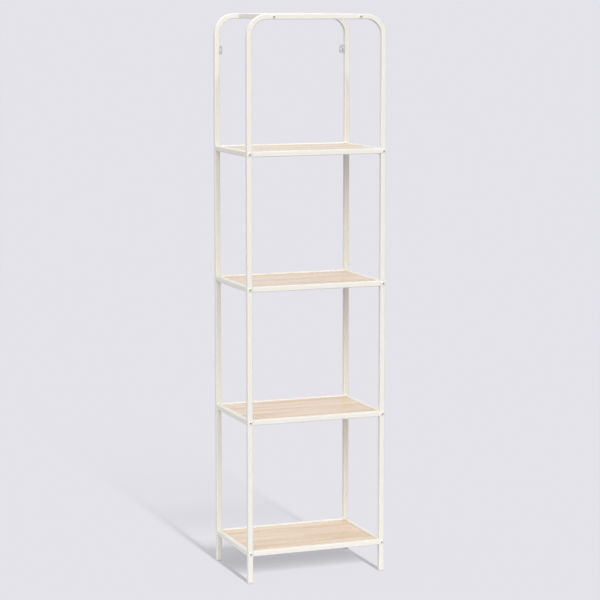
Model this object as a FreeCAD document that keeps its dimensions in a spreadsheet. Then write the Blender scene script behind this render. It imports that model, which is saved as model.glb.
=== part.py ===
import FreeCAD, Part
import math
import os
import Sketcher

SHELF_COUNT = 4

# Driving sizes in millimetres
SIZES = {
    # outside of the whole unit, bolt heads left out
    "unit_width": 390.0,
    "unit_depth": 270.0,
    "unit_height": 1500.0,
    # square steel tube of every frame piece
    "tube_side": 14.0,
    "tube_wall": 1.2,
    "tube_corner": 2.2,
    "bend_radius": 50.0,
    "corner_middle_share": 0.293,
    # top of the lowest rails; the other levels divide the height above it evenly
    "first_level": 88.0,
    # wood panels
    "board_thickness": 9.0,
    "board_recess": 2.0,
    "board_gap": 1.2,
    "board_edge": 0.6,
    # bars that join the two arches at the top, measured inwards from the end of the bends
    "top_bar_offset": 17.0,
    # plastic leg ends
    "foot_height": 5.0,
    "foot_edge": 1.6,
    "plug_height": 14.0,
    "plug_play": 0.5,
    "plug_wall": 1.6,
    "rib_height": 2.0,
    "rib_first": 3.0,
    "rib_pitch": 6.0,
    # frame bolts and the threaded inserts they screw into
    "bolt_head_radius": 5.2,
    "bolt_head_height": 2.4,
    "bolt_radius": 3.0,
    "bolt_grip": 11.0,
    "bolt_play": 0.3,
    "socket_radius": 2.3,
    "socket_depth": 1.6,
    "insert_length": 14.0,
    # plates under the boards
    "tab_width": 22.0,
    "tab_reach": 15.0,
    "tab_thickness": 1.5,
    "tab_corner": 4.0,
    "tab_leg_distance": 68.0,
    # angle brackets for the wall, their middle measured down from the top
    "bracket_drop": 98.0,
    "bracket_height": 23.5,
    "bracket_reach": 12.0,
    "bracket_thickness": 1.5,
    "bracket_bend": 1.0,
    "bracket_corner": 3.0,
    "wall_hole_radius": 2.5,
    "wall_hole_inset": 7.0,
}

# Sizes that follow from the driving ones
FORMULAS = {
    "half_tube": "tube_side / 2",
    "bore_half": "tube_side / 2 - tube_wall",
    "tube_flat": "tube_side / 2 - tube_corner",
    "tube_middle": "tube_side / 2 - tube_corner * corner_middle_share",
    "leg_x": "(unit_width - tube_side) / 2",
    "leg_y": "(unit_depth - tube_side) / 2",
    "front_face": "unit_depth / 2",
    "arch_level": "unit_height - tube_side / 2",
    "top_bar_x": "(unit_width - tube_side) / 2 - bend_radius - top_bar_offset",
    "first_middle": "first_level - tube_side / 2",
    "level_pitch": "(unit_height - first_level) / %d" % SHELF_COUNT,
    "rail_length": "unit_width - 2 * tube_side",
    "side_length": "unit_depth - 2 * tube_side",
    "half_side_length": "unit_depth / 2 - tube_side",
    "board_half_width": "unit_width / 2 - tube_side - board_gap",
    "board_half_depth": "unit_depth / 2 - tube_side - board_gap",
    "board_bottom": "board_recess + board_thickness",
    "tab_bottom": "board_recess + board_thickness + tab_thickness",
    "tab_x": "(unit_width - tube_side) / 2 - tab_leg_distance",
    "half_tab": "tab_width / 2",
    "tab_end_flat": "tab_width / 2 - tab_corner",
    "tab_side_flat": "tab_reach - tab_corner",
    "bolt_hole_radius": "bolt_radius + bolt_play",
    "bolt_length": "tube_side + bolt_grip",
    "plug_half": "tube_side / 2 - tube_wall - plug_play",
    "hollow_half": "tube_side / 2 - tube_wall - plug_play - plug_wall",
    "bracket_x": "unit_width / 2 - tube_side",
    "bracket_level": "unit_height - bracket_drop",
    "half_bracket": "bracket_height / 2",
}

FULL_TURN = 360.0
HEX_SIDES = 6
ROUND_SIDES = 12
POINT_TOLERANCE_SHARE = 0.001

document = FreeCAD.newDocument("shelving_unit")
sheet = document.addObject("Spreadsheet::Sheet", "Sizes")
rows = [(name, str(value)) for name, value in SIZES.items()]
rows += [(name, "=" + formula) for name, formula in FORMULAS.items()]
for number, (name, content) in enumerate(rows, start=1):
    sheet.set("A%d" % number, name)
    sheet.set("B%d" % number, content)
    sheet.setAlias("B%d" % number, name)
document.recompute()

nodes = []


def size(name):
    return float(getattr(sheet, name))


def link(item, path, name, sign=""):
    item.setExpression(path, sign + "Sizes." + name)


def near(first, second):
    return abs(first - second) < POINT_TOLERANCE_SHARE * size("tube_side")


def origin_item(body, role):
    return [item for item in body.Origin.OriginFeatures if item.Role == role][0]


def new_body(label):
    body = document.addObject("PartDesign::Body", label)
    body.Label = label
    body.AllowCompound = True
    return body


def new_sketch(body, name, plane):
    sketch = body.newObject("Sketcher::SketchObject", body.Name + "_" + name)
    sketch.AttachmentSupport = (origin_item(body, plane), [""])
    sketch.MapMode = "FlatFace"
    return sketch


def measure(sketch, tag, name, kind, *where, sign=1.0):
    index = sketch.addConstraint(Sketcher.Constraint(kind, *where, size(name) * sign))
    sketch.renameConstraint(index, tag)
    link(sketch, "Constraints." + tag, name, "" if sign > 0 else "-")


def vector(across, along, up=0.0):
    return FreeCAD.Vector(across, along, up)


# Quarter of a circle, counted from the quarter that begins at the sketch's first axis
def quarter_arc(centre, radius, quarter):
    whole = Part.Circle(centre, vector(0, 0, 1), radius)
    return Part.ArcOfCircle(whole, quarter * math.pi / 2, (quarter + 1) * math.pi / 2)


# Closed outline of straight sides through corner points at named distances from the sketch origin
def polygon(sketch, tag, corners):
    spots = [vector(across_sign * size(across) if across else 0, along_sign * size(along) if along else 0)
             for across, across_sign, along, along_sign in corners]
    lines = []
    for place, spot in enumerate(spots):
        lines.append(sketch.addGeometry(Part.LineSegment(spot, spots[(place + 1) % len(spots)])))
    for place, line in enumerate(lines):
        following = lines[(place + 1) % len(lines)]
        sketch.addConstraint(Sketcher.Constraint("Coincident", line, 2, following, 1))
    for place, (across, across_sign, along, along_sign) in enumerate(corners):
        fix_point(sketch, "%s_%d" % (tag, place), lines[place], 1, across, across_sign, along, along_sign)


# Plain rectangle round the sketch origin
def rectangle(sketch, tag, half_wide, half_deep):
    polygon(sketch, tag, (
        (half_wide, 1, half_deep, 1), (half_wide, -1, half_deep, 1),
        (half_wide, -1, half_deep, -1), (half_wide, 1, half_deep, -1)))


# Outside of the tube round the sketch origin: each round corner is two flats through the round's middle
def tube_outline(sketch, tag):
    corners = []
    for across_sign, along_sign in ((1, 1), (-1, 1), (-1, -1), (1, -1)):
        points = (("half_tube", "tube_flat"), ("tube_middle", "tube_middle"), ("tube_flat", "half_tube"))
        ordered = points if across_sign == along_sign else reversed(points)
        corners += [(across, across_sign, along, along_sign) for across, along in ordered]
    polygon(sketch, tag, corners)


# Regular outline round the sketch origin, its corners on a circle of a named radius
def regular_outline(sketch, tag, radius, sides):
    reach = size(radius)
    turns = [2 * math.pi * number / sides for number in range(sides)]
    spots = [vector(reach * math.cos(turn), reach * math.sin(turn)) for turn in turns]
    lines = []
    for place, spot in enumerate(spots):
        lines.append(sketch.addGeometry(Part.LineSegment(spot, spots[(place + 1) % sides])))
    ring = sketch.addGeometry(Part.Circle(vector(0, 0), vector(0, 0, 1), reach), True)
    for place, line in enumerate(lines):
        sketch.addConstraint(Sketcher.Constraint("Coincident", line, 2, lines[(place + 1) % sides], 1))
        sketch.addConstraint(Sketcher.Constraint("PointOnObject", line, 1, ring))
    for line in lines[1:]:
        sketch.addConstraint(Sketcher.Constraint("Equal", lines[0], line))
    sketch.addConstraint(Sketcher.Constraint("Coincident", ring, 3, -1, 1))
    sketch.addConstraint(Sketcher.Constraint("PointOnObject", lines[0], 1, -1))
    measure(sketch, tag + "_ring", radius, "Radius", ring)


# Holds one point of a sketch at named distances from the sketch origin
def fix_point(sketch, tag, item, end, across, across_sign, along, along_sign):
    if across:
        measure(sketch, tag + "_across", across, "DistanceX", -1, 1, item, end, sign=across_sign)
    else:
        sketch.addConstraint(Sketcher.Constraint("PointOnObject", item, end, -2))
    if along:
        measure(sketch, tag + "_along", along, "DistanceY", -1, 1, item, end, sign=along_sign)
    else:
        sketch.addConstraint(Sketcher.Constraint("PointOnObject", item, end, -1))


def circle(sketch, tag, radius, across, across_sign, along, along_sign):
    spot = vector(across_sign * size(across) if across else 0, along_sign * size(along) if along else 0)
    item = sketch.addGeometry(Part.Circle(spot, vector(0, 0, 1), size(radius)))
    measure(sketch, tag + "_radius", radius, "Radius", item)
    fix_point(sketch, tag, item, 3, across, across_sign, along, along_sign)


def pad(body, name, sketch, length, symmetric=False, reverse=False):
    feature = body.newObject("PartDesign::Pad", body.Name + "_" + name)
    feature.Profile = sketch
    feature.Type = "Length"
    feature.SideType = "Symmetric" if symmetric else "One side"
    feature.Reversed = reverse
    link(feature, "Length", length)
    return feature


def cut_through(body, name, sketch):
    feature = body.newObject("PartDesign::Pocket", body.Name + "_" + name)
    feature.Profile = sketch
    feature.Type = "ThroughAll"
    feature.SideType = "Symmetric"
    return feature


def cut(body, name, sketch, length, reverse=False):
    feature = body.newObject("PartDesign::Pocket", body.Name + "_" + name)
    feature.Profile = sketch
    feature.Type = "Length"
    feature.Reversed = reverse
    link(feature, "Length", length)
    return feature


# Edges of a feature that pass a test, for its fillets and chamfers
def edges_where(feature, test):
    document.recompute()
    return ["Edge%d" % number for number, edge in enumerate(feature.Shape.Edges, start=1) if test(edge)]


def dress(body, kind, name, base, test, length):
    feature = body.newObject("PartDesign::" + kind, body.Name + "_" + name)
    feature.Base = (base, edges_where(base, test))
    link(feature, "Radius" if kind == "Fillet" else "Size", length)
    return feature


def flat_at(height):
    return lambda edge: all(near(vertex.Point.z, height) for vertex in edge.Vertexes)


def keep(item):
    nodes.append(item)
    return item


# One bent arch: two legs and the top in a single length of tube, with its bolt holes
def arch(label, depth_sign):
    body = new_body(label)
    path = new_sketch(body, "path", "XZ_Plane")
    leg, foot, top, bend = size("leg_x"), size("foot_height"), size("arch_level"), size("bend_radius")
    left = path.addGeometry(Part.LineSegment(vector(-leg, foot), vector(-leg, top - bend)))
    left_bend = path.addGeometry(quarter_arc(vector(bend - leg, top - bend), bend, 1))
    across = path.addGeometry(Part.LineSegment(vector(bend - leg, top), vector(leg - bend, top)))
    right_bend = path.addGeometry(quarter_arc(vector(leg - bend, top - bend), bend, 0))
    right = path.addGeometry(Part.LineSegment(vector(leg, top - bend), vector(leg, foot)))
    for meeting in ((left, 2, left_bend, 2), (left_bend, 1, across, 1), (across, 2, right_bend, 2),
                    (right_bend, 1, right, 1)):
        path.addConstraint(Sketcher.Constraint("Tangent", *meeting))
    path.addConstraint(Sketcher.Constraint("Vertical", left))
    path.addConstraint(Sketcher.Constraint("Vertical", right))
    path.addConstraint(Sketcher.Constraint("Horizontal", across))
    path.addConstraint(Sketcher.Constraint("Equal", left_bend, right_bend))
    measure(path, "bend", "bend_radius", "Radius", left_bend)
    measure(path, "left_leg", "leg_x", "DistanceX", left, 1, -1, 1)
    measure(path, "right_leg", "leg_x", "DistanceX", -1, 1, right, 2)
    measure(path, "top", "arch_level", "DistanceY", -1, 1, across, 1)
    measure(path, "left_end", "foot_height", "DistanceY", -1, 1, left, 1)
    measure(path, "right_end", "foot_height", "DistanceY", -1, 1, right, 2)
    profile = new_sketch(body, "profile", "XY_Plane")
    link(profile, "AttachmentOffset.Base.x", "leg_x", "-")
    link(profile, "AttachmentOffset.Base.z", "foot_height")
    tube_outline(profile, "outside")
    rectangle(profile, "inside", "bore_half", "bore_half")
    document.recompute()
    pipe = body.newObject("PartDesign::AdditivePipe", body.Name + "_pipe")
    pipe.Profile = profile
    pipe.Spine = (path, ["Edge%d" % number for number in range(1, len(path.Shape.Edges) + 1)])
    pipe.Mode = "Standard"
    level_holes = new_sketch(body, "level_holes", "XZ_Plane")
    circle(level_holes, "left", "bolt_hole_radius", "leg_x", -1, "first_middle", 1)
    circle(level_holes, "right", "bolt_hole_radius", "leg_x", 1, "first_middle", 1)
    first_holes = cut_through(body, "first_holes", level_holes)
    levels = body.newObject("PartDesign::LinearPattern", body.Name + "_levels")
    levels.Originals = [first_holes]
    levels.Direction = (level_holes, ["V_Axis"])
    levels.Mode = "Spacing"
    levels.Occurrences = SHELF_COUNT
    link(levels, "Offset", "level_pitch")
    body.Tip = levels
    top_holes = new_sketch(body, "top_holes", "XZ_Plane")
    circle(top_holes, "left", "bolt_hole_radius", "top_bar_x", -1, "arch_level", 1)
    circle(top_holes, "right", "bolt_hole_radius", "top_bar_x", 1, "arch_level", 1)
    cut_through(body, "top_bar_holes", top_holes)
    link(body, "Placement.Base.y", "leg_y", "-" if depth_sign < 0 else "")
    return keep(body)


# Straight length of the same tube, centred on its own origin along X or along Y
def straight_tube(label, length, lies_along):
    body = new_body(label)
    profile = new_sketch(body, "profile", "YZ_Plane" if lies_along == "X" else "XZ_Plane")
    tube_outline(profile, "outside")
    rectangle(profile, "inside", "bore_half", "bore_half")
    pad(body, "length", profile, length, symmetric=True)
    return keep(body)


# Sets a piece at a shelf's height, a named distance below the top of its rails
def at_level(item, shelf, drop):
    formula = "Sizes.first_level + %d * Sizes.level_pitch - Sizes.%s" % (shelf, drop)
    item.setExpression("Placement.Base.z", formula)


arch("front_arch_tube", -1)
arch("rear_arch_tube", 1)

# Rails of each shelf level: front and rear between the legs, left and right from front to rear
for shelf in range(SHELF_COUNT):
    for side, sign in (("front", "-"), ("rear", "")):
        rail = straight_tube("%s_rail_%d" % (side, shelf + 1), "rail_length", "X")
        link(rail, "Placement.Base.y", "leg_y", sign)
        at_level(rail, shelf, "half_tube")
    for side, sign in (("left", "-"), ("right", "")):
        rail = straight_tube("%s_side_rail_%d" % (side, shelf + 1), "side_length", "Y")
        link(rail, "Placement.Base.x", "leg_x", sign)
        at_level(rail, shelf, "half_tube")

for side, sign in (("left", "-"), ("right", "")):
    bar = straight_tube(side + "_top_bar", "side_length", "Y")
    link(bar, "Placement.Base.x", "top_bar_x", sign)
    link(bar, "Placement.Base.z", "arch_level")

# Wood panels: top face just below the rails, its edge eased
for shelf in range(SHELF_COUNT):
    board = new_body("shelf_board_%d" % (shelf + 1))
    outline = new_sketch(board, "outline", "XY_Plane")
    rectangle(outline, "edge", "board_half_width", "board_half_depth")
    panel = pad(board, "panel", outline, "board_thickness")
    dress(board, "Chamfer", "soft_edge", panel, flat_at(size("board_thickness")), "board_edge")
    at_level(board, shelf, "board_bottom")
    keep(board)


# Plastic end of a leg: a foot the size of the tube and a hollow ribbed plug that grips the bore
def foot_plug(label, across_sign, depth_sign):
    body = new_body(label)
    foot_outline = new_sketch(body, "foot_outline", "XY_Plane")
    tube_outline(foot_outline, "foot")
    foot = pad(body, "foot", foot_outline, "foot_height")
    dress(body, "Chamfer", "soft_edge", foot, flat_at(0.0), "foot_edge")
    plug_outline = new_sketch(body, "plug_outline", "XY_Plane")
    link(plug_outline, "AttachmentOffset.Base.z", "foot_height")
    rectangle(plug_outline, "plug", "plug_half", "plug_half")
    pad(body, "plug", plug_outline, "plug_height")
    rib_outline = new_sketch(body, "rib_outline", "XY_Plane")
    rib_outline.setExpression("AttachmentOffset.Base.z", "Sizes.foot_height + Sizes.rib_first")
    rectangle(rib_outline, "rib", "bore_half", "bore_half")
    rib = pad(body, "rib", rib_outline, "rib_height")
    ribs = body.newObject("PartDesign::LinearPattern", body.Name + "_ribs")
    ribs.Originals = [rib]
    ribs.Direction = (rib_outline, ["N_Axis"])
    ribs.Mode = "Spacing"
    ribs.Occurrences = 2
    link(ribs, "Offset", "rib_pitch")
    body.Tip = ribs
    hollow_outline = new_sketch(body, "hollow_outline", "XY_Plane")
    link(hollow_outline, "AttachmentOffset.Base.z", "foot_height")
    rectangle(hollow_outline, "hollow", "hollow_half", "hollow_half")
    cut(body, "hollow", hollow_outline, "plug_height", reverse=True)
    link(body, "Placement.Base.x", "leg_x", "-" if across_sign < 0 else "")
    link(body, "Placement.Base.y", "leg_y", "-" if depth_sign < 0 else "")
    return keep(body)


for depth_name, depth_sign in (("front", -1), ("rear", 1)):
    for side, across_sign in (("left", -1), ("right", 1)):
        foot_plug("%s_%s_foot" % (depth_name, side), across_sign, depth_sign)


# Angle bracket: flange on the leg's inner face, plate against the wall; its bend is at the local origin
def wall_bracket(label):
    body = new_body(label)
    outline = new_sketch(body, "outline", "XY_Plane")
    polygon(outline, "corner", (
        (None, 1, None, 1), ("bracket_reach", 1, None, 1), ("bracket_reach", 1, "bracket_thickness", -1),
        ("bracket_thickness", 1, "bracket_thickness", -1), ("bracket_thickness", 1, "bracket_reach", -1),
        (None, 1, "bracket_reach", -1)))
    angle = pad(body, "angle", outline, "bracket_height", symmetric=True)

    def outer_bend(edge):
        return all(near(vertex.Point.x, 0) and near(vertex.Point.y, 0) for vertex in edge.Vertexes)

    def free_corner(edge):
        spots = [vertex.Point for vertex in edge.Vertexes]
        short = near(edge.Length, size("bracket_thickness"))
        at_end = all(near(abs(spot.z), size("half_bracket")) for spot in spots)
        plate_end = all(near(spot.x, size("bracket_reach")) for spot in spots)
        flange_end = all(near(spot.y, -size("bracket_reach")) for spot in spots)
        return short and at_end and (plate_end or flange_end)

    bent = dress(body, "Fillet", "bend", angle, outer_bend, "bracket_bend")
    dress(body, "Chamfer", "free_corners", bent, free_corner, "bracket_corner")
    wall_hole = new_sketch(body, "wall_hole", "XZ_Plane")
    circle(wall_hole, "wall", "wall_hole_radius", "wall_hole_inset", 1, None, 1)
    cut(body, "wall_cut", wall_hole, "bracket_thickness", reverse=True)
    link(body, "Placement.Base.y", "front_face")
    link(body, "Placement.Base.z", "bracket_level")
    return keep(body)


left_bracket = wall_bracket("left_wall_bracket")
link(left_bracket, "Placement.Base.x", "bracket_x", "-")
right_bracket = wall_bracket("right_wall_bracket")
right_bracket.Placement = FreeCAD.Placement(vector(0, 0), FreeCAD.Rotation(vector(0, 1, 0), FULL_TURN / 2))
link(right_bracket, "Placement.Base.x", "bracket_x")
link(right_bracket, "Placement.Base.y", "front_face")
link(right_bracket, "Placement.Base.z", "bracket_level")


# Mirror image of a piece across the middle of the unit
def mirrored(label, source, normal):
    image = document.addObject("Part::Mirroring", label)
    image.Source = source
    image.Base = vector(0, 0)
    image.Normal = vector(*normal)
    return image


# A piece and its three mirror images, one in each quarter of the unit
def four_quarters(label, piece):
    copies = [piece]
    for normal in ((1, 0), (0, 1)):
        copies += [mirrored("%s_%d" % (label, len(copies) + place), source, normal)
                   for place, source in enumerate(list(copies))]
    return copies


def group(label, pieces):
    compound = document.addObject("Part::Compound", label)
    compound.Label = label
    compound.Links = pieces
    return keep(compound)


# Hex-socket bolt along +Y from its head's seat at the local origin; a few flats stand for its rounds
def frame_bolt(label, across):
    body = new_body(label)
    head_outline = new_sketch(body, "head_outline", "XZ_Plane")
    regular_outline(head_outline, "head", "bolt_head_radius", ROUND_SIDES)
    pad(body, "head", head_outline, "bolt_head_height")
    shank_outline = new_sketch(body, "shank_outline", "XZ_Plane")
    regular_outline(shank_outline, "shank", "bolt_radius", ROUND_SIDES)
    pad(body, "shank", shank_outline, "bolt_length", reverse=True)
    socket_outline = new_sketch(body, "socket_outline", "XZ_Plane")
    link(socket_outline, "AttachmentOffset.Base.z", "bolt_head_height")
    regular_outline(socket_outline, "socket", "socket_radius", HEX_SIDES)
    cut(body, "socket", socket_outline, "socket_depth")
    link(body, "Placement.Base.x", across, "-")
    link(body, "Placement.Base.y", "front_face", "-")
    return body


# Threaded square insert in a tube end, its bore the size of the bolt
def end_insert(label, across):
    body = new_body(label)
    outline = new_sketch(body, "outline", "XZ_Plane")
    rectangle(outline, "outside", "bore_half", "bore_half")
    regular_outline(outline, "bore", "bolt_radius", ROUND_SIDES)
    pad(body, "block", outline, "insert_length", reverse=True)
    link(body, "Placement.Base.x", across, "-")
    link(body, "Placement.Base.y", "half_side_length", "-")
    return body


level_bolts = four_quarters("level_bolt_copy", frame_bolt("level_bolt", "leg_x"))
top_bolts = four_quarters("top_bolt_copy", frame_bolt("top_bolt", "top_bar_x"))
level_inserts = four_quarters("level_insert_copy", end_insert("level_insert", "leg_x"))
top_inserts = four_quarters("top_insert_copy", end_insert("top_insert", "top_bar_x"))

# Plate welded to a rail's inner face, its free corners cut off
tab = new_body("board_tab")
tab_outline = new_sketch(tab, "outline", "XY_Plane")
polygon(tab_outline, "corner", (
    ("half_tab", -1, None, 1), ("half_tab", 1, None, 1), ("half_tab", 1, "tab_side_flat", 1),
    ("tab_end_flat", 1, "tab_reach", 1), ("tab_end_flat", -1, "tab_reach", 1),
    ("half_tab", -1, "tab_side_flat", 1)))
pad(tab, "plate", tab_outline, "tab_thickness")
link(tab, "Placement.Base.x", "tab_x", "-")
link(tab, "Placement.Base.y", "half_side_length", "-")
tabs = four_quarters("board_tab_copy", tab)

for shelf in range(SHELF_COUNT):
    number = shelf + 1
    at_level(group("frame_bolts_%d" % number, level_bolts), shelf, "half_tube")
    at_level(group("rail_inserts_%d" % number, level_inserts), shelf, "half_tube")
    at_level(group("board_tabs_%d" % number, tabs), shelf, "tab_bottom")
link(group("frame_bolts_top", top_bolts), "Placement.Base.z", "arch_level")
link(group("bar_inserts_top", top_inserts), "Placement.Base.z", "arch_level")

document.recompute()

# Every piece is sound before any is written
for item in document.Objects:
    faults = [word for word in item.State if word in ("Invalid", "Error")]
    if faults:
        raise RuntimeError("%s is %s" % (item.Name, ", ".join(faults)))
for node in nodes:
    if node.Shape.isNull() or not node.Shape.isValid() or not node.Shape.Solids:
        raise RuntimeError("%s has no sound solid" % node.Label)

os.makedirs("parts", exist_ok=True)
for node in nodes:
    node.Shape.exportStep("parts/%s.step" % node.Label)
print("%d pieces written" % len(nodes))
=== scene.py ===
"""Looks of a tall open shelving unit: its coated tubes, boards, bolts, screws and studio."""

import math

import bmesh
import bpy
from bpy.props import FloatProperty, FloatVectorProperty, IntProperty, PointerProperty
from mathutils import Euler, Matrix, Vector


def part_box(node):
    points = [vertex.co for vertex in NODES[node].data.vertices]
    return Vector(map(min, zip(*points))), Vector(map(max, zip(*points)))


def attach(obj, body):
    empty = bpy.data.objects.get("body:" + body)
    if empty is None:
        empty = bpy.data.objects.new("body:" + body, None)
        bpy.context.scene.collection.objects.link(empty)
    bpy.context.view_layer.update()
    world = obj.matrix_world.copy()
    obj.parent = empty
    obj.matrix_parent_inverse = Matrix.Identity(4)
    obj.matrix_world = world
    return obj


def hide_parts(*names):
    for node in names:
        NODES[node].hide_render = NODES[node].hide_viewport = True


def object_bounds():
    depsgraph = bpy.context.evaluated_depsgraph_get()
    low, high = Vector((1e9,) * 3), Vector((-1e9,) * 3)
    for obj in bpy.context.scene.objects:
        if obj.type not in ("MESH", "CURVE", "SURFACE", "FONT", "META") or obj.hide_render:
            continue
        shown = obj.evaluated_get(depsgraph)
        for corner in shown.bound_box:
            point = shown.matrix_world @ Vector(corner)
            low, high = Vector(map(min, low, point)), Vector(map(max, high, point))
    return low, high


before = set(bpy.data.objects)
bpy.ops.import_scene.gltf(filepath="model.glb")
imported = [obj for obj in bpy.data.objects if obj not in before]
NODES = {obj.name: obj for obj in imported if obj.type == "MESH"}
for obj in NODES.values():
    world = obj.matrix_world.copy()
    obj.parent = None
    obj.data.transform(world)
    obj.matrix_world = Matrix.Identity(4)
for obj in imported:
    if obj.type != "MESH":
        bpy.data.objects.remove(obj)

bl_info = {
    "name": "Shelving unit looks",
    "version": (1, 0, 0),
    "blender": (4, 5, 0),
    "location": "View3D > Sidebar > Shelving",
    "description": "Dresses the shelving unit's frame, boards and fasteners and sets its studio",
    "category": "Object",
}

MM = 0.001
CAD_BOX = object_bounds()
BODY = "root"

# Names, places and sizes that the frame gives
ARCHES = ("front_arch_tube", "rear_arch_tube")
BRACKETS = ("left_wall_bracket", "right_wall_bracket")
LEVELS = sorted(int(name.rsplit("_", 1)[1]) for name in NODES if name.startswith("shelf_board_"))
CROSS_RAILS = [name for name in sorted(NODES) if name.startswith(("front_rail_", "rear_rail_"))]
BOLTED_BARS = [name for name in sorted(NODES) if "_side_rail_" in name or name.endswith("_top_bar")]
FEET = [name for name in sorted(NODES) if name.endswith("_foot")]
TUBE_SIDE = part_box("front_rail_1")[1].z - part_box("front_rail_1")[0].z
LEG_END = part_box("front_arch_tube")[0].z
BOLT_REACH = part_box("frame_bolts_1")[1].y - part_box("rear_arch_tube")[1].y
TAB_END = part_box("board_tabs_1")[1].x
BOARD_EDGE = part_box("shelf_board_1")[1].y
LEVEL_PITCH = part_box("shelf_board_2")[1].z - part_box("shelf_board_1")[1].z

# Directions: X to the right, Y to the back, Z up
X_AXIS = Vector((1, 0, 0))
Y_AXIS = Vector((0, 1, 0))
Z_AXIS = Vector((0, 0, 1))
ALONG_WIDTH = 0
ALONG_DEPTH = 1

# Places of a Mix node's colour sockets, whose names its other sockets share
MIX_SHARE = 0
MIX_FIRST = 6
MIX_SECOND = 7
MIX_RESULT = 2

# Edges sharper than this stay sharp beside the smooth rounds
SHARP_ANGLE = math.radians(40.0)


def linear(hex_colour):
    """Linear colour of an sRGB hex value."""
    shares = [int(hex_colour[place:place + 2], 16) / 255 for place in (0, 2, 4)]
    return tuple(
        share / 12.92 if share <= 0.04045 else ((share + 0.055) / 1.055) ** 2.4 for share in shares)


def centre(name):
    """Middle of a node's box."""
    low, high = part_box(name)
    return (low + high) / 2


class TubeSettings(bpy.types.PropertyGroup):
    """Coated steel tube of the frame"""

    coat_colour: FloatVectorProperty(
        name="Coat colour", description="Cream of the powder coat",
        subtype="COLOR", size=3, min=0.0, max=1.0, default=linear("F5F2EA"))
    corner_radius: FloatProperty(
        name="Corner radius", description="Round of the tube's long edges",
        unit="LENGTH", default=2.2 * MM)
    bend_radius: FloatProperty(
        name="Bend radius", description="Bend of an arch, to the middle of its tube",
        unit="LENGTH", default=50 * MM)
    bead_radius: FloatProperty(
        name="Weld bead radius", description="Bead where a rail is welded to a leg",
        unit="LENGTH", default=0.9 * MM)
    corner_steps: IntProperty(
        name="Corner steps", description="Faces round each long edge", default=6, min=2)
    bend_steps: IntProperty(
        name="Bend steps", description="Faces round each bend", default=24, min=6)


class BoardSettings(bpy.types.PropertyGroup):
    """Printed grain of the boards"""

    pale_colour: FloatVectorProperty(
        name="Pale wood", description="Lighter wood between the streaks",
        subtype="COLOR", size=3, min=0.0, max=1.0, default=linear("F6E2C9"))
    dark_colour: FloatVectorProperty(
        name="Streaked wood", description="Darker streaks of the print",
        subtype="COLOR", size=3, min=0.0, max=1.0, default=linear("DFC19B"))
    pore_colour: FloatVectorProperty(
        name="Pores", description="Short dark pore lines",
        subtype="COLOR", size=3, min=0.0, max=1.0, default=linear("C29C71"))
    tone_length: FloatProperty(
        name="Tone length", description="Length of the broad changes of tone",
        unit="LENGTH", default=320 * MM)
    tone_width: FloatProperty(
        name="Tone width", description="Width of the broad changes of tone",
        unit="LENGTH", default=45 * MM)
    ring_spacing: FloatProperty(
        name="Ring spacing", description="Distance between growth rings",
        unit="LENGTH", default=5.5 * MM)
    fibre_length: FloatProperty(
        name="Fibre length", description="Length of a bundle of fibres",
        unit="LENGTH", default=70 * MM)
    fibre_width: FloatProperty(
        name="Fibre width", description="Width of a bundle of fibres",
        unit="LENGTH", default=1.6 * MM)
    pore_length: FloatProperty(
        name="Pore length", description="Length of a pore line",
        unit="LENGTH", default=14 * MM)
    pore_width: FloatProperty(
        name="Pore width", description="Width of a pore line",
        unit="LENGTH", default=0.7 * MM)


class FootSettings(bpy.types.PropertyGroup):
    """Moulded leg ends"""

    edge_radius: FloatProperty(
        name="Edge radius", description="Round of a leg end's edges",
        unit="LENGTH", default=0.4 * MM)
    edge_steps: IntProperty(
        name="Edge steps", description="Faces round each edge", default=3, min=1)


class FastenerSettings(bpy.types.PropertyGroup):
    """Bolts of the frame and the small screws"""

    head_radius: FloatProperty(
        name="Bolt head radius", description="Radius of the domed head",
        unit="LENGTH", default=5.2 * MM)
    shank_radius: FloatProperty(
        name="Bolt radius", description="Radius of the bolt's shank",
        unit="LENGTH", default=3.0 * MM)
    shank_length: FloatProperty(
        name="Bolt length", description="Length of the shank under the head",
        unit="LENGTH", default=25 * MM)
    socket_radius: FloatProperty(
        name="Socket radius", description="Middle to corner of the hex socket",
        unit="LENGTH", default=2.3 * MM)
    socket_depth: FloatProperty(
        name="Socket depth", description="Depth of the hex socket",
        unit="LENGTH", default=1.6 * MM)
    screw_head_radius: FloatProperty(
        name="Screw head radius", description="Radius of a small screw's head",
        unit="LENGTH", default=3.6 * MM)
    screw_head_height: FloatProperty(
        name="Screw head height", description="Height of a small screw's head",
        unit="LENGTH", default=1.8 * MM)
    screw_recess_depth: FloatProperty(
        name="Cross recess depth", description="Depth of the cross in a screw head",
        unit="LENGTH", default=1.2 * MM)
    tab_width: FloatProperty(
        name="Tab width", description="Width of a board tab, whose middle has the screw",
        unit="LENGTH", default=22 * MM)
    tab_screw_inset: FloatProperty(
        name="Tab screw inset", description="From a board's edge to the screw in its tab",
        unit="LENGTH", default=7 * MM)
    bracket_thickness: FloatProperty(
        name="Bracket thickness", description="Thickness of a wall bracket's plate",
        unit="LENGTH", default=1.5 * MM)
    turn_steps: IntProperty(
        name="Turn steps", description="Faces round a fastener", default=48, min=24)


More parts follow.
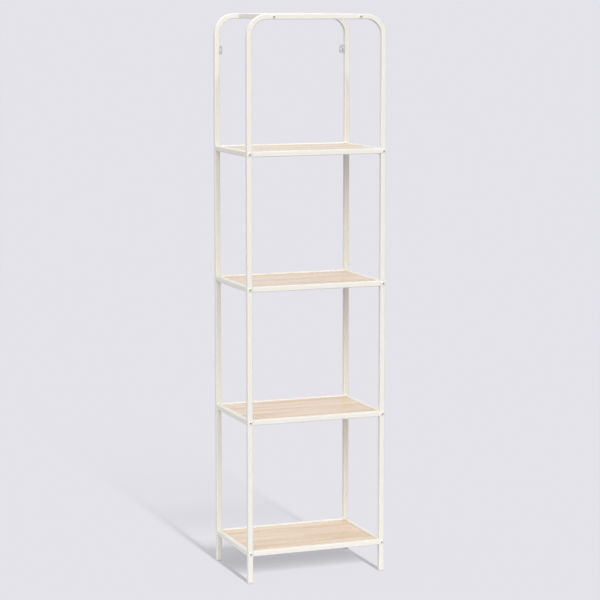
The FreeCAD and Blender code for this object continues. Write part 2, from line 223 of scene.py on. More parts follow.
class StageSettings(bpy.types.PropertyGroup):
    """Camera, light and floor"""

    paper_colour: FloatVectorProperty(
        name="Backdrop colour", description="Colour that the floor and backdrop show",
        subtype="COLOR", size=3, min=0.0, max=1.0, default=linear("E4E3E9"))
    shade_share: FloatProperty(
        name="Shadow share", description="Most that a shadow takes from the floor's colour",
        subtype="FACTOR", min=0.0, max=1.0, default=0.4)
    shade_radius: FloatProperty(
        name="Shadow radius", description="Distance from the middle at which the shadow starts to pale",
        unit="LENGTH", default=200 * MM)
    shade_reach: FloatProperty(
        name="Shadow reach", description="Distance over which the floor's shadow pales",
        unit="LENGTH", default=440 * MM)
    bounce_level: FloatProperty(
        name="Floor bounce", description="Level of the light that the floor's glow sends back up",
        default=0.39)
    floor_size: FloatProperty(
        name="Floor size", description="Side of the floor", unit="LENGTH", default=900.0)
    camera_place: FloatVectorProperty(
        name="Camera place", description="Where the camera stands",
        subtype="TRANSLATION", size=3, default=(-2.0787, -5.4529, 1.5476))
    camera_turn: FloatProperty(
        name="Camera turn", description="Turn to the right of straight ahead",
        subtype="ANGLE", default=math.radians(20.893))
    camera_tilt: FloatProperty(
        name="Camera tilt", description="Tilt below the horizon",
        subtype="ANGLE", default=math.radians(7.934))
    camera_lens: FloatProperty(
        name="Lens", description="Focal length in millimetres", unit="CAMERA", default=131.21)
    strip_level: FloatProperty(
        name="Strip light", description="Level of the upright strip that draws the floor's shadow",
        default=12.0)
    strip_low: FloatProperty(
        name="Strip's lower end", description="Height angle of its lower end",
        subtype="ANGLE", default=math.radians(20.0))
    strip_high: FloatProperty(
        name="Strip's upper end", description="Height angle of its upper end",
        subtype="ANGLE", default=math.radians(37.0))
    strip_width: FloatProperty(
        name="Strip's width", description="Width of the strip and the front lamp as an angle",
        subtype="ANGLE", default=math.radians(2.6))
    strip_steps: IntProperty(
        name="Strip steps", description="Lamps that make up the strip", default=10, min=2)
    front_level: FloatProperty(
        name="Front lamp", description="Level of the small lamp in front, which the front legs shade",
        default=0.18)
    front_height: FloatProperty(
        name="Front lamp height", description="Height angle of the front lamp",
        subtype="ANGLE", default=math.radians(30.0))
    key_level: FloatProperty(
        name="Key soft box", description="Level of the large soft box at the left", default=0.48)
    key_turn: FloatProperty(
        name="Key turn", description="Turn of it to the left of the unit's front",
        subtype="ANGLE", default=math.radians(40.0))
    key_height: FloatProperty(
        name="Key height", description="Height angle of its middle",
        subtype="ANGLE", default=math.radians(25.0))
    fill_level: FloatProperty(
        name="Fill soft box", description="Level of the weaker soft box at the right", default=0.14)
    fill_turn: FloatProperty(
        name="Fill turn", description="Turn of it to the right of the unit's front",
        subtype="ANGLE", default=math.radians(30.0))
    fill_height: FloatProperty(
        name="Fill height", description="Height angle of its middle",
        subtype="ANGLE", default=math.radians(45.0))
    back_level: FloatProperty(
        name="Back soft box", description="Level of the weak soft box behind", default=0.2)
    back_height: FloatProperty(
        name="Back height", description="Height angle of its middle",
        subtype="ANGLE", default=math.radians(45.0))
    soft_width: FloatProperty(
        name="Soft box width", description="Width of the soft boxes as an angle",
        subtype="ANGLE", default=math.radians(60.0))
    room_level: FloatProperty(
        name="Room light", description="Level of the even light from all sides", default=0.5)


def new_object(name, mesh, materials):
    """Object of a mesh in the scene, with its materials."""
    made = bpy.data.objects.new(name, mesh)
    for material in materials:
        made.data.materials.append(material)
    bpy.context.scene.collection.objects.link(made)
    return made


def ride(piece, slot, *replaced):
    """Ties a new piece to the unit and hides the nodes that it stands for; its slot is not used."""
    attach(piece, BODY)
    if replaced:
        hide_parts(*replaced)


def finished_mesh(name, shape):
    """Mesh of a drawn shape, with its faces turned outwards."""
    bmesh.ops.recalc_face_normals(shape, faces=shape.faces)
    mesh = bpy.data.meshes.new(name)
    shape.to_mesh(mesh)
    shape.free()
    return mesh


def finish_piece(name, shape, materials, slot, *replaced):
    """Makes a drawn shape a piece of the unit, with smooth rounds beside flat faces."""
    piece = new_object(name, finished_mesh(name, shape), materials)
    piece.data.shade_smooth()
    piece.data.set_sharp_from_angle(angle=SHARP_ANGLE)
    shading = piece.modifiers.new("even_shading", "WEIGHTED_NORMAL")
    shading.keep_sharp = True
    ride(piece, slot, *replaced)


def paint(names, material):
    """Gives nodes of the frame a material."""
    for name in names:
        if not NODES[name].material_slots:
            raise RuntimeError(f"{name} has no material slot")
        NODES[name].material_slots[0].material = material


def add(tree, kind, values, links):
    """Node of a kind, with its settings or socket values and its links."""
    node = tree.nodes.new(kind)
    for key, value in values.items():
        if isinstance(key, str) and hasattr(node, key):
            setattr(node, key, value)
        else:
            node.inputs[key].default_value = value
    for key, output in links.items():
        tree.links.new(output, node.inputs[key])
    return node


def new_material(name, values):
    """Material with one surface shader; gives its node tree, the shader and the surface's places."""
    material = bpy.data.materials.new(name)
    material.use_nodes = True
    tree = material.node_tree
    tree.nodes.clear()
    shader = add(tree, "ShaderNodeBsdfPrincipled", values, {})
    add(tree, "ShaderNodeOutputMaterial", {}, {"Surface": shader.outputs["BSDF"]})
    place = add(tree, "ShaderNodeTexCoord", {}, {}).outputs["Object"]
    return material, tree, shader, place


def opaque(colour):
    """Colour with full cover."""
    return (*colour, 1.0)


def shaded(colour, share):
    """Colour dimmed to a share."""
    return tuple(channel * share for channel in colour)


def blotched(tree, shader, place, size, dark, pale, detail):
    """Tints a surface in blotches of a size, and gives the blotches."""
    noise = add(tree, "ShaderNodeTexNoise", {"Scale": 1 / size, "Detail": detail}, {"Vector": place})
    blotches = noise.outputs["Fac"]
    tint = add(tree, "ShaderNodeMix",
               {"data_type": "RGBA", MIX_FIRST: opaque(dark), MIX_SECOND: opaque(pale)},
               {MIX_SHARE: blotches})
    tree.links.new(tint.outputs[MIX_RESULT], shader.inputs["Base Color"])
    return blotches


def streaks(tree, place, sizes, detail):
    """Noise with a size of its own along each axis."""
    drawn_out = add(tree, "ShaderNodeMapping", {"Scale": tuple(1 / size for size in sizes)},
                    {"Vector": place})
    return add(tree, "ShaderNodeTexNoise", {"Scale": 1.0, "Detail": detail},
               {"Vector": drawn_out.outputs["Vector"]})


def powder_coat(colour):
    """Polyester powder melted onto steel tube in an oven."""
    # Satin and faintly dimpled like orange peel, with a slight mottle where the coat is thinner
    mottle_size, dimple_size, dimple_height = 45 * MM, 1.6 * MM, 0.012 * MM
    thin_share = 0.965
    material, tree, shader, place = new_material("Satin powder coat on steel", {"IOR": 1.5})
    mottle = blotched(tree, shader, place, mottle_size, shaded(colour, thin_share), colour, detail=2.0)
    gloss = add(tree, "ShaderNodeMapRange", {"To Min": 0.38, "To Max": 0.5}, {"Value": mottle})
    peel = add(tree, "ShaderNodeTexNoise", {"Scale": 1 / dimple_size, "Detail": 1.0}, {"Vector": place})
    dimples = add(tree, "ShaderNodeBump", {"Strength": 0.6, "Distance": dimple_height},
                  {"Height": peel.outputs["Fac"]})
    tree.links.new(gloss.outputs["Result"], shader.inputs["Roughness"])
    tree.links.new(dimples.outputs["Normal"], shader.inputs["Normal"])
    return material


def baked_enamel(colour):
    """Enamel baked onto bolt heads."""
    # The tube's cream with a closer, slightly darker mottle, and fine tool marks under the paint
    mark_size, mark_height = 0.7 * MM, 0.008 * MM
    thin_share = 0.94
    material, tree, shader, place = new_material(
        "Baked enamel on steel bolts", {"IOR": 1.5, "Roughness": 0.42})
    marks = blotched(tree, shader, place, mark_size, shaded(colour, thin_share), colour, detail=2.0)
    bump = add(tree, "ShaderNodeBump", {"Strength": 0.5, "Distance": mark_height}, {"Height": marks})
    tree.links.new(bump.outputs["Normal"], shader.inputs["Normal"])
    return material


def socket_shade_enamel():
    """Painted shade for a bolt's hex socket: the cream enamel darkened to grey-brown."""
    # Dull grey-brown with darker blotches, painted shade that makes a socket read as a soft spot
    spot_size = 0.9 * MM
    material, tree, shader, place = new_material(
        "Enamel with painted socket shade", {"IOR": 1.5, "Roughness": 0.6})
    blotched(tree, shader, place, spot_size, linear("6E655B"), linear("978D80"), detail=2.0)
    return material


def melamine_oak(wood):
    """Wood-based board faced with melamine paper printed as light oak."""
    # Satin and warm: arched growth rings that run out into straight lines, fine fibres and short
    # dark pores, and at a low angle a soft mirror of the legs; the pores are drawn about twice as
    # wide as oak's so that they show
    board_shift = (220 * MM, 160 * MM, 20 * MM)
    heart_aside, heart_below, heart_tilt = 80 * MM, 62 * MM, math.radians(7.0)
    wander, pore_depth = 22 * MM, 0.03 * MM
    material, tree, shader, place = new_material(
        "Melamine faced board printed as light oak", {"IOR": 1.5})

    # Each board shows a part of the print that its level picks by chance
    axes = add(tree, "ShaderNodeSeparateXYZ", {}, {"Vector": place})
    depth = add(tree, "ShaderNodeMath", {"operation": "FLOORED_MODULO", 1: LEVEL_PITCH},
                {0: axes.outputs["Z"]})
    levels_up = add(tree, "ShaderNodeMath", {"operation": "DIVIDE", 1: LEVEL_PITCH},
                    {0: axes.outputs["Z"]})
    level = add(tree, "ShaderNodeMath", {"operation": "FLOOR"}, {0: levels_up.outputs["Value"]})
    chance = add(tree, "ShaderNodeTexWhiteNoise", {"noise_dimensions": "1D"},
                 {"W": level.outputs["Value"]})
    lowered = add(tree, "ShaderNodeCombineXYZ", {},
                  {"X": axes.outputs["X"], "Y": axes.outputs["Y"], "Z": depth.outputs["Value"]})
    own = add(tree, "ShaderNodeVectorMath", {"operation": "MULTIPLY_ADD", 1: board_shift},
              {0: chance.outputs["Color"], 2: lowered.outputs["Vector"]}).outputs["Vector"]

    # The patterns of the print
    tone = streaks(tree, own, (wood.tone_length, wood.tone_width, wood.tone_width), detail=3.0)
    fibres = streaks(tree, own, (wood.fibre_length, wood.fibre_width, wood.fibre_length), detail=2.0)
    pores = streaks(tree, own, (wood.pore_length, wood.pore_width, wood.pore_length), detail=0.0)
    heart = add(tree, "ShaderNodeMapping",
                {"Rotation": (0.0, heart_tilt, 0.0), "Location": (0.0, -heart_aside, -heart_below)},
                {"Vector": own})
    wandering = add(tree, "ShaderNodeVectorMath",
                    {"operation": "MULTIPLY_ADD", 1: (0.0, wander, wander)},
                    {0: tone.outputs["Color"], 2: heart.outputs["Vector"]})
    # At a scale of 1 the wave goes through 20 radians in a metre
    wave_rate = 20
    rings = add(tree, "ShaderNodeTexWave",
                {"wave_type": "RINGS", "rings_direction": "X", "wave_profile": "SAW",
                 "Scale": math.tau / wave_rate / wood.ring_spacing},
                {"Vector": wandering.outputs["Vector"]})

    # Their colours, laid over each other
    tone_share = add(tree, "ShaderNodeMapRange", {"From Min": 0.39, "From Max": 0.62, "To Max": 0.9},
                     {"Value": tone.outputs["Fac"]})
    ring_share = add(tree, "ShaderNodeMapRange", {"From Min": 0.3, "To Max": 0.3},
                     {"Value": rings.outputs["Fac"]})
    fibre_share = add(tree, "ShaderNodeMapRange", {"From Min": 0.4, "From Max": 0.7, "To Max": 0.35},
                      {"Value": fibres.outputs["Fac"]})
    pore_share = add(tree, "ShaderNodeMapRange", {"From Min": 0.62, "From Max": 0.72, "To Max": 0.6},
                     {"Value": pores.outputs["Fac"]})
    grained = add(tree, "ShaderNodeMix", {"data_type": "RGBA", MIX_FIRST: opaque(wood.pale_colour),
                                          MIX_SECOND: opaque(wood.dark_colour)},
                  {MIX_SHARE: tone_share.outputs["Result"]})
    for share, colour in ((ring_share, wood.dark_colour), (fibre_share, wood.dark_colour),
                          (pore_share, wood.pore_colour)):
        grained = add(tree, "ShaderNodeMix", {"data_type": "RGBA", MIX_SECOND: opaque(colour)},
                      {MIX_SHARE: share.outputs["Result"], MIX_FIRST: grained.outputs[MIX_RESULT]})
    gloss = add(tree, "ShaderNodeMapRange", {"To Min": 0.17, "To Max": 0.27},
                {"Value": fibres.outputs["Fac"]})
    hollows = add(tree, "ShaderNodeBump", {"Strength": 0.4, "Distance": pore_depth, "invert": True},
                  {"Height": pore_share.outputs["Result"]})
    tree.links.new(grained.outputs[MIX_RESULT], shader.inputs["Base Color"])
    tree.links.new(gloss.outputs["Result"], shader.inputs["Roughness"])
    tree.links.new(hollows.outputs["Normal"], shader.inputs["Normal"])
    return material


def moulded_polypropylene():
    """Polypropylene moulded in a finely sparked tool."""
    # Off-white and matt, with a fine even grain and a slight waxy depth
    grain_size, grain_height, wax_depth = 0.5 * MM, 0.015 * MM, 1.5 * MM
    material, tree, shader, place = new_material(
        "Moulded polypropylene",
        {"IOR": 1.49, "Roughness": 0.52, "Subsurface Weight": 0.08,
         "Subsurface Radius": (1.0, 0.9, 0.75), "Subsurface Scale": wax_depth})
    grain = blotched(tree, shader, place, grain_size, linear("E7E1D4"), linear("EEE8DC"), detail=1.0)
    bump = add(tree, "ShaderNodeBump", {"Strength": 0.4, "Distance": grain_height}, {"Height": grain})
    tree.links.new(bump.outputs["Normal"], shader.inputs["Normal"])
    return material


def bright_zinc():
    """Pressed steel plated with bright zinc."""
    # Pale grey metal, softly mirrored, with cloudy patches from the plating bath and fine lines
    # from the rolling mill
    cloud_size, line_length, line_width, line_height = 6 * MM, 30 * MM, 0.4 * MM, 0.004 * MM
    material, tree, shader, place = new_material("Bright zinc plate on steel", {"Metallic": 1.0})
    clouds = blotched(tree, shader, place, cloud_size, linear("CACCCB"), linear("DCDEDD"), detail=3.0)
    gloss = add(tree, "ShaderNodeMapRange", {"To Min": 0.26, "To Max": 0.46}, {"Value": clouds})
    lines = streaks(tree, place, (line_width, line_width, line_length), detail=2.0)
    bump = add(tree, "ShaderNodeBump", {"Strength": 0.3, "Distance": line_height},
               {"Height": lines.outputs["Fac"]})
    tree.links.new(gloss.outputs["Result"], shader.inputs["Roughness"])
    tree.links.new(bump.outputs["Normal"], shader.inputs["Normal"])
    return material


def recess_shade_zinc():
    """Zinc darkened as painted shade in a screw's cross recess."""
    # Darker and duller than the plate around it: the darker colour is painted shade in the recess
    spot_size = 0.6 * MM
    material, tree, shader, place = new_material(
        "Zinc with painted recess shade", {"Metallic": 1.0, "Roughness": 0.6})
    blotched(tree, shader, place, spot_size, linear("5F6163"), linear("85888A"), detail=2.0)
    return material


def shown_rays(tree):
    """Output that is 1 for what the camera, a mirror or glass sees, and 0 for other light."""
    path = add(tree, "ShaderNodeLightPath", {}, {})
    seen = add(tree, "ShaderNodeMath", {"operation": "MAXIMUM"},
               {0: path.outputs["Is Camera Ray"], 1: path.outputs["Is Glossy Ray"]})
    shown = add(tree, "ShaderNodeMath", {"operation": "MAXIMUM"},
                {0: seen.outputs["Value"], 1: path.outputs["Is Transmission Ray"]})
    return shown.outputs["Value"]


def studio_paint(stage, floor_level):
    """Matt paint on a smooth studio floor."""
    # Even and without gloss: the lit paint carries the shadow, and a glow like that of a backlit
    # sweep pales the shadow away from the unit; unshaded, both show the backdrop's colour
    material = bpy.data.materials.new("Matt studio floor paint")
    material.use_nodes = True
    tree = material.node_tree
    tree.nodes.clear()
    place = add(tree, "ShaderNodeTexCoord", {}, {})
    radius = add(tree, "ShaderNodeVectorMath", {"operation": "LENGTH"}, {0: place.outputs["Object"]})
    falling = add(tree, "ShaderNodeMapRange",
                  {"clamp": False, "From Min": stage.shade_radius,
                   "From Max": stage.shade_radius + stage.shade_reach, "To Max": -1.0},
                  {"Value": radius.outputs["Value"]})
    fade = add(tree, "ShaderNodeMath", {"operation": "EXPONENT"}, {0: falling.outputs["Result"]})
    shade = add(tree, "ShaderNodeMapRange", {"To Min": 0.0, "To Max": stage.shade_share},
                {"Value": fade.outputs["Value"]})
    level = add(tree, "ShaderNodeMapRange", {"To Min": stage.bounce_level, "To Max": 1.0},
                {"Value": shown_rays(tree)})
    glow = add(tree, "ShaderNodeEmission", {"Color": opaque(stage.paper_colour)},
               {"Strength": level.outputs["Result"]})
    painted = add(tree, "ShaderNodeBsdfDiffuse",
                  {"Color": opaque(shaded(stage.paper_colour, 1 / floor_level))}, {})
    both = add(tree, "ShaderNodeMixShader", {},
               {0: shade.outputs["Result"], 1: glow.outputs["Emission"], 2: painted.outputs["BSDF"]})
    add(tree, "ShaderNodeOutputMaterial", {}, {"Surface": both.outputs["Shader"]})
    return material


def tube_section(side, corner, steps):
    """Outline of a square tube with round corners, as offsets from its middle."""
    inner = side / 2 - corner
    points = []
    for quarter, (across, up) in enumerate(((1, 1), (-1, 1), (-1, -1), (1, -1))):
        for step in range(steps + 1):
            turn = (quarter + step / steps) * math.pi / 2
            points.append((across * inner + corner * math.cos(turn),
                           up * inner + corner * math.sin(turn)))
    return points


def ring_section(radius, steps):
    """Outline of a round bead."""
    turns = [math.tau * step / steps for step in range(steps)]
    return [(radius * math.cos(turn), radius * math.sin(turn)) for turn in turns]


def sweep(shape, stations, section):
    """Carries a section along stations, each a middle and the directions of its two axes."""
    rings = []
    for middle, across, up in stations:
        rings.append([shape.verts.new(middle + across * first + up * second)
                      for first, second in section])
    for ring, following in zip(rings, rings[1:]):
        for place in range(len(section)):
            after = (place + 1) % len(section)
            shape.faces.new((ring[place], ring[after], following[after], following[place]))
    shape.faces.new(rings[0])
    shape.faces.new(rings[-1])


def arch_stations(node, tube):
    """Middle line of an arch: up the left leg, round two bends and down the right leg."""
    low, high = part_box(node)
    half = TUBE_SIDE / 2
    depth = (low.y + high.y) / 2
    top = high.z - half - tube.bend_radius
    stations = [(Vector((low.x + half, depth, LEG_END)), -X_AXIS, Y_AXIS)]
    for side in (-1, 1):
        bend_middle = Vector((side * (high.x - half - tube.bend_radius), depth, top))
        for step in range(tube.bend_steps + 1):
            share = step / tube.bend_steps if side < 0 else 1 - step / tube.bend_steps
            turn = share * math.pi / 2
            out = Vector((side * math.cos(turn), 0, math.sin(turn)))
            stations.append((bend_middle + out * tube.bend_radius, out, Y_AXIS))
    stations.append((Vector((high.x - half, depth, LEG_END)), X_AXIS, Y_AXIS))
    return stations


def bar_stations(node, axis):
    """The two ends of a straight bar along the width or the depth."""
    low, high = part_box(node)
    across = Y_AXIS if axis == ALONG_WIDTH else X_AXIS
    ends = []
    for end in (low, high):
        spot = centre(node)
        spot[axis] = end[axis]
        ends.append((spot, across, Z_AXIS))
    return ends


def bead_stations(node, side, tube):
    """Path of a weld at a rail's end: over the top, down the inner face and below."""
    low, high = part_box(node)
    inwards = 1 if node.startswith("front") else -1
    face, flush = (high.y, low.y) if inwards > 0 else (low.y, high.y)
    end = high.x if side > 0 else low.x
    corner = tube.corner_radius
    stations = [(Vector((end, flush + inwards * corner, high.z)), X_AXIS, Z_AXIS)]
    for up, level in ((1, high.z), (-1, low.z)):
        corner_middle = Vector((end, face - inwards * corner, level - up * corner))
        for step in range(tube.corner_steps + 1):
            share = step / tube.corner_steps if up > 0 else 1 - step / tube.corner_steps
            turn = share * math.pi / 2
            out = Vector((0, inwards * math.sin(turn), up * math.cos(turn)))
            stations.append((corner_middle + out * corner, X_AXIS, out))
    stations.append((Vector((end, flush + inwards * corner, low.z)), X_AXIS, -Z_AXIS))
    return stations


def turned(shape, middle, axis, rings, steps, shaded_recess_from):
    """Turns rings of radii and heights round an axis.

    Faces past the given ring take the piece's second material, which is painted shade in the recess.
    """
    turn_to_axis = Z_AXIS.rotation_difference(axis).to_matrix()
    made = []
    for radius, height in rings:
        corners = []
        for step in range(steps):
            turn = math.tau * step / steps
            reach = radius(turn) if callable(radius) else radius
            spot = Vector((reach * math.cos(turn), reach * math.sin(turn), height))
            corners.append(shape.verts.new(middle + turn_to_axis @ spot))
        made.append(corners)
    for number, (ring, following) in enumerate(zip(made, made[1:])):
        for place in range(steps):
            after = (place + 1) % steps
            face = shape.faces.new((ring[place], ring[after], following[after], following[place]))
            face.material_index = 1 if number >= shaded_recess_from else 0
    shape.faces.new(made[0])
    shape.faces.new(made[-1]).material_index = 1


def domed_head(radius, height, rim_share, flat_share, steps):
    """Rings of a head that stands straight at its rim and rounds over to a flat top."""
    rim, flat = rim_share * height, flat_share * radius
    rings = [(radius, 0.0)]
    for step in range(steps + 1):
        turn = math.pi / 2 * step / steps
        rings.append((flat + (radius - flat) * math.cos(turn), rim + (height - rim) * math.sin(turn)))
    return rings


def hexagon(radius):
    """Radius of a hexagon's outline at a turn."""
    sector = math.pi / 3
    return lambda turn: radius * math.cos(sector / 2) / math.cos(turn % sector - sector / 2)


def cross(radius):
    """Radius of a cross recess at a turn: four narrow arms on a small middle."""
    middle_share, sharpness = 0.3, 6

    def reach(turn):
        on_arm = math.cos(4 * turn) > 0
        arm = (1 - middle_share) * abs(math.cos(2 * turn)) ** sharpness if on_arm else 0.0
        return radius * (middle_share + arm)

    return reach


class SHELVING_OT_frame(bpy.types.Operator):
    """Draw the round-cornered tubes and their weld beads in powder coat"""

    bl_idname = "shelving.frame"
    bl_label = "Tube frame"

    def execute(self, context):
        tube = context.scene.shelving_tube
        coat = powder_coat(tube.coat_colour)
        section = tube_section(TUBE_SIDE, tube.corner_radius, tube.corner_steps)
        paths = {name: arch_stations(name, tube) for name in ARCHES}
        paths.update({name: bar_stations(name, ALONG_WIDTH) for name in CROSS_RAILS})
        paths.update({name: bar_stations(name, ALONG_DEPTH) for name in BOLTED_BARS})
        for name, stations in paths.items():
            shape = bmesh.new()
            sweep(shape, stations, section)
            finish_piece("coated_" + name, shape, [coat], "frame_paint", name)
        bead = ring_section(tube.bead_radius, 2 * tube.corner_steps)
        for level in LEVELS:
            shape = bmesh.new()
            for rail in (f"front_rail_{level}", f"rear_rail_{level}"):
                for side in (-1, 1):
                    sweep(shape, bead_stations(rail, side, tube), bead)
            finish_piece(f"weld_beads_{level}", shape, [coat], "frame_paint")
        paint([f"board_tabs_{level}" for level in LEVELS], coat)
        return {"FINISHED"}


class SHELVING_OT_boards(bpy.types.Operator):
    """Print the light oak grain on the boards"""

    bl_idname = "shelving.boards"
    bl_label = "Boards"

    def execute(self, context):
        oak = melamine_oak(context.scene.shelving_board)
        paint([f"shelf_board_{level}" for level in LEVELS], oak)
        return {"FINISHED"}


class SHELVING_OT_feet(bpy.types.Operator):
    """Mould the leg ends in plastic with soft edges"""

    bl_idname = "shelving.feet"
    bl_label = "Feet"

    def execute(self, context):
        size = context.scene.shelving_feet
        join_distance, edge_angle = 0.01 * MM, math.radians(20.0)
        plastic = moulded_polypropylene()
        for name in FEET:
            mesh = NODES[name].data.copy()
            mesh.materials.clear()
            piece = new_object("moulded_" + name, mesh, [plastic])
            weld = piece.modifiers.new("joined_faces", "WELD")
            weld.merge_threshold = join_distance
            soft = piece.modifiers.new("soft_edges", "BEVEL")
            soft.width = size.edge_radius
            soft.segments = size.edge_steps
            soft.limit_method = "ANGLE"
            soft.angle_limit = edge_angle
            ride(piece, "foot_plastic", name)
        return {"FINISHED"}


class SHELVING_OT_bolts(bpy.types.Operator):
    """Turn the domed hex-socket bolts of every level"""

    bl_idname = "shelving.bolts"
    bl_label = "Frame bolts"

    def execute(self, context):
        size = context.scene.shelving_fasteners
        # The second material is painted shade in each hex socket
        materials = [baked_enamel(context.scene.shelving_tube.coat_colour), socket_shade_enamel()]
        dome = domed_head(size.head_radius, BOLT_REACH, rim_share=0.25, flat_share=0.55, steps=5)
        shank = [(size.shank_radius, -size.shank_length), (size.shank_radius, 0.0)]
        socket = hexagon(size.socket_radius)
        rings = [*shank, *dome, (socket, BOLT_REACH), (socket, BOLT_REACH - size.socket_depth)]
        shaded_recess_from = len(rings) - 2
        groups = {f"frame_bolts_{level}": (f"left_side_rail_{level}", f"right_side_rail_{level}")
                  for level in LEVELS}
        groups["frame_bolts_top"] = ("left_top_bar", "right_top_bar")
        for name, bars in groups.items():
            shape = bmesh.new()
            for bar in bars:
                for arch, way in zip(ARCHES, (-1, 1)):
                    low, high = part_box(arch)
                    seat = centre(bar)
                    seat.y = low.y if way < 0 else high.y
                    turned(shape, seat, way * Y_AXIS, rings, size.turn_steps, shaded_recess_from)
            finish_piece("painted_" + name, shape, materials, "bolt_paint", name)
        return {"FINISHED"}


class SHELVING_OT_screws(bpy.types.Operator):
    """Turn the small screws and plate them, the wall brackets and the end inserts with zinc"""

    bl_idname = "shelving.screws"
    bl_label = "Screws and brackets"

    def execute(self, context):
        size = context.scene.shelving_fasteners
        # The second material is painted shade in each cross recess
        materials = [bright_zinc(), recess_shade_zinc()]
        recess_share = 0.55
        radius, height = size.screw_head_radius, size.screw_head_height
        recess = cross(recess_share * radius)
        rings = [*domed_head(radius, height, rim_share=0.4, flat_share=0.62, steps=3),
                 (recess, height), (recess, height - size.screw_recess_depth)]
        shaded_recess_from = len(rings) - 2
        tab_x = TAB_END - size.tab_width / 2
        tab_y = BOARD_EDGE - size.tab_screw_inset
        for level in LEVELS:
            shape = bmesh.new()
            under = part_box(f"board_tabs_{level}")[0].z
            for x in (-tab_x, tab_x):
                for y in (-tab_y, tab_y):
                    seat = Vector((x, y, under))
                    turned(shape, seat, -Z_AXIS, rings, size.turn_steps, shaded_recess_from)
            finish_piece(f"board_screws_{level}", shape, materials, "zinc_steel")
        shape = bmesh.new()
        for bracket, way in zip(BRACKETS, (1, -1)):
            low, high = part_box(bracket)
            seat = centre(bracket)
            seat.x = low.x + size.bracket_thickness if way > 0 else high.x - size.bracket_thickness
            turned(shape, seat, way * X_AXIS, rings, size.turn_steps, shaded_recess_from)
        finish_piece("bracket_screws", shape, materials, "zinc_steel")
        inserts = [f"rail_inserts_{level}" for level in LEVELS]
        paint([*BRACKETS, "bar_inserts_top", *inserts], materials[0])
        return {"FINISHED"}


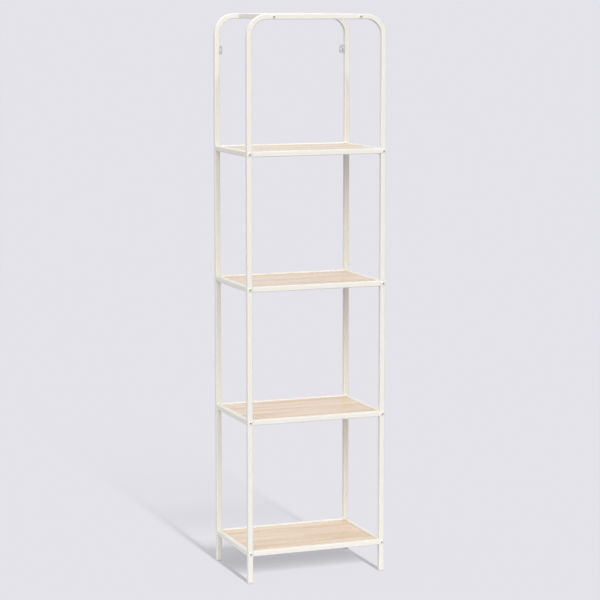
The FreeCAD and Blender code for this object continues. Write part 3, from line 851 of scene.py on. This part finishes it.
class SHELVING_OT_stage(bpy.types.Operator):
    """Set the floor, the lamps, the room light and the camera"""

    bl_idname = "shelving.stage"
    bl_label = "Studio"

    def floor(self, stage, floor_level):
        """Wide flat floor under the unit."""
        shape = bmesh.new()
        flat = Matrix.Translation((0, 0, CAD_BOX[0].z))
        bmesh.ops.create_grid(shape, x_segments=1, y_segments=1, size=stage.floor_size / 2, matrix=flat)
        mesh = finished_mesh("studio_floor", shape)
        floor = new_object("studio_floor", mesh, [studio_paint(stage, floor_level)])
        return floor

    def lamp(self, context, name, turn, height, width, level):
        """Distant lamp at a turn to the left of the front and a height angle."""
        data = bpy.data.lights.new(name, "SUN")
        data.angle = width
        data.energy = level * math.pi
        lamp = bpy.data.objects.new(name, data)
        lamp.rotation_euler = Euler((math.pi / 2 - height, 0.0, -turn))
        context.scene.collection.objects.link(lamp)
        return lamp

    def room(self, context, stage):
        """Even room light, and the backdrop colour where the view goes past the floor."""
        world = bpy.data.worlds.new("studio_room")
        world.use_nodes = True
        tree = world.node_tree
        tree.nodes.clear()
        light = add(tree, "ShaderNodeBackground",
                    {"Color": (1, 1, 1, 1), "Strength": stage.room_level}, {})
        backdrop = add(tree, "ShaderNodeBackground",
                       {"Color": opaque(stage.paper_colour), "Strength": 1.0}, {})
        either = add(tree, "ShaderNodeMixShader", {},
                     {0: shown_rays(tree), 1: light.outputs["Background"],
                      2: backdrop.outputs["Background"]})
        add(tree, "ShaderNodeOutputWorld", {}, {"Surface": either.outputs["Shader"]})
        context.scene.world = world

    def camera(self, context, stage):
        """Camera at the photograph's viewing angle."""
        camera = bpy.data.objects.new("camera", bpy.data.cameras.new("camera"))
        camera.data.lens = stage.camera_lens
        camera.location = stage.camera_place
        camera.rotation_euler = Euler((math.pi / 2 - stage.camera_tilt, 0.0, -stage.camera_turn))
        context.scene.collection.objects.link(camera)
        context.scene.camera = camera

    def execute(self, context):
        stage = context.scene.shelving_stage
        strip_span = stage.strip_high - stage.strip_low
        shares = [step / (stage.strip_steps - 1) for step in range(stage.strip_steps)]
        strip_heights = [stage.strip_low + strip_span * share for share in shares]
        strip_level = stage.strip_level / stage.strip_steps
        strip_light = sum(strip_level * math.sin(height) for height in strip_heights)
        floor = self.floor(stage, stage.room_level + strip_light)
        only_floor = bpy.data.collections.new("only_floor")
        only_floor.objects.link(floor)
        all_but_floor = bpy.data.collections.new("all_but_floor")
        all_but_floor.objects.link(floor)
        all_but_floor.collection_objects[0].light_linking.link_state = "EXCLUDE"
        # The strip lights only the floor and draws its shadow; the others light only the unit
        for number, height in enumerate(strip_heights, start=1):
            name = f"strip_lamp_{number}"
            lamp = self.lamp(context, name, 0.0, height, stage.strip_width, strip_level)
            lamp.light_linking.receiver_collection = only_floor
        on_unit = {
            "front_lamp": (0.0, stage.front_height, stage.strip_width, stage.front_level),
            "key_soft_box": (stage.key_turn, stage.key_height, stage.soft_width, stage.key_level),
            "fill_soft_box": (-stage.fill_turn, stage.fill_height, stage.soft_width, stage.fill_level),
            "back_soft_box": (math.pi, stage.back_height, stage.soft_width, stage.back_level),
        }
        for name, aim in on_unit.items():
            self.lamp(context, name, *aim).light_linking.receiver_collection = all_but_floor
        self.room(context, stage)
        self.camera(context, stage)
        context.scene.view_settings.view_transform = "Standard"
        return {"FINISHED"}


class SHELVING_PT_panel(bpy.types.Panel):
    """Settings and buttons for each group of pieces and for the studio"""

    bl_idname = "SHELVING_PT_panel"
    bl_label = "Shelving unit"
    bl_space_type = "VIEW_3D"
    bl_region_type = "UI"
    bl_category = "Shelving"

    def draw(self, context):
        for name, kind in SETTINGS.items():
            settings = self.layout.box()
            for key in kind.__annotations__:
                settings.prop(getattr(context.scene, name), key)
        for operator in OPERATORS:
            self.layout.operator(operator.bl_idname)


SETTINGS = {
    "shelving_tube": TubeSettings,
    "shelving_board": BoardSettings,
    "shelving_feet": FootSettings,
    "shelving_fasteners": FastenerSettings,
    "shelving_stage": StageSettings,
}
OPERATORS = (
    SHELVING_OT_frame,
    SHELVING_OT_boards,
    SHELVING_OT_feet,
    SHELVING_OT_bolts,
    SHELVING_OT_screws,
    SHELVING_OT_stage,
)
CLASSES = (*SETTINGS.values(), *OPERATORS, SHELVING_PT_panel)


def register():
    for kind in CLASSES:
        bpy.utils.register_class(kind)
    for name, kind in SETTINGS.items():
        setattr(bpy.types.Scene, name, PointerProperty(type=kind))


def unregister():
    for name in SETTINGS:
        delattr(bpy.types.Scene, name)
    for kind in reversed(CLASSES):
        bpy.utils.unregister_class(kind)


def main():
    register()
    bpy.ops.shelving.frame()
    bpy.ops.shelving.boards()
    bpy.ops.shelving.feet()
    bpy.ops.shelving.bolts()
    bpy.ops.shelving.screws()
    bpy.ops.shelving.stage()


if __name__ == "__main__":
    main()
